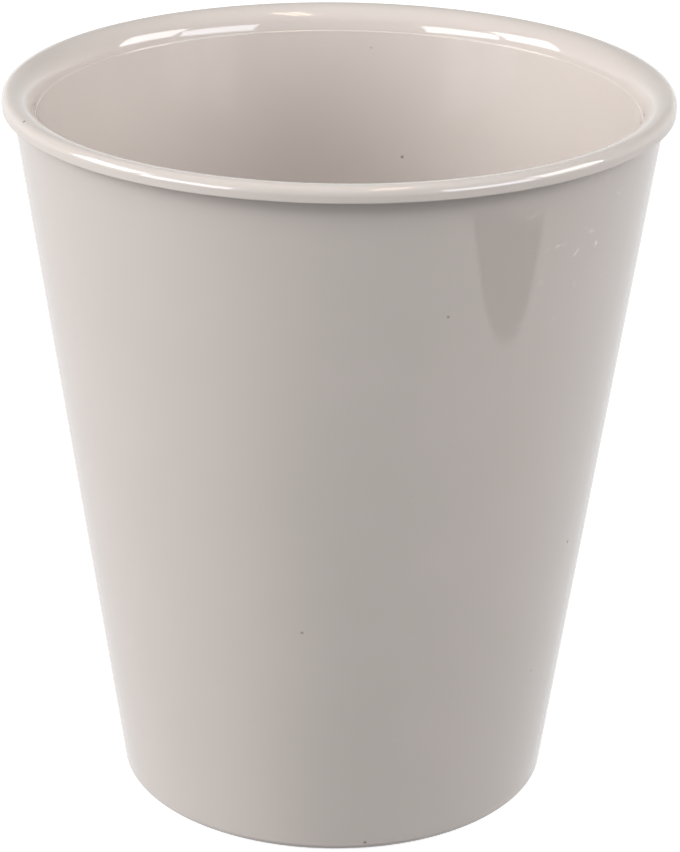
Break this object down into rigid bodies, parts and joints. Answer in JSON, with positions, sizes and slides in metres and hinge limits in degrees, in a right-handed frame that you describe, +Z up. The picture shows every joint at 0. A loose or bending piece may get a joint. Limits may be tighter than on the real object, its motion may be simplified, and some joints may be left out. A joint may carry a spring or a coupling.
{
  "type": "reusable cup",
  "caption": "Tapered reusable cup with a rounded turned-out lip, a stacking shoulder just inside the mouth and a shallow recess under the base.",
  "frame": {"origin": "centre of the base, on the plane that the foot ring stands on", "axes": "+Z up along the cup's axis, towards the open mouth; the cup is round, so X and Y are free"},
  "size_m": [0.09, 0.09, 0.1],
  "materials": {
    "cup_body": "gloss"
  },
  "bodies": {
    "root": {"cup": "cup_body"}
  },
  "joints": []
}
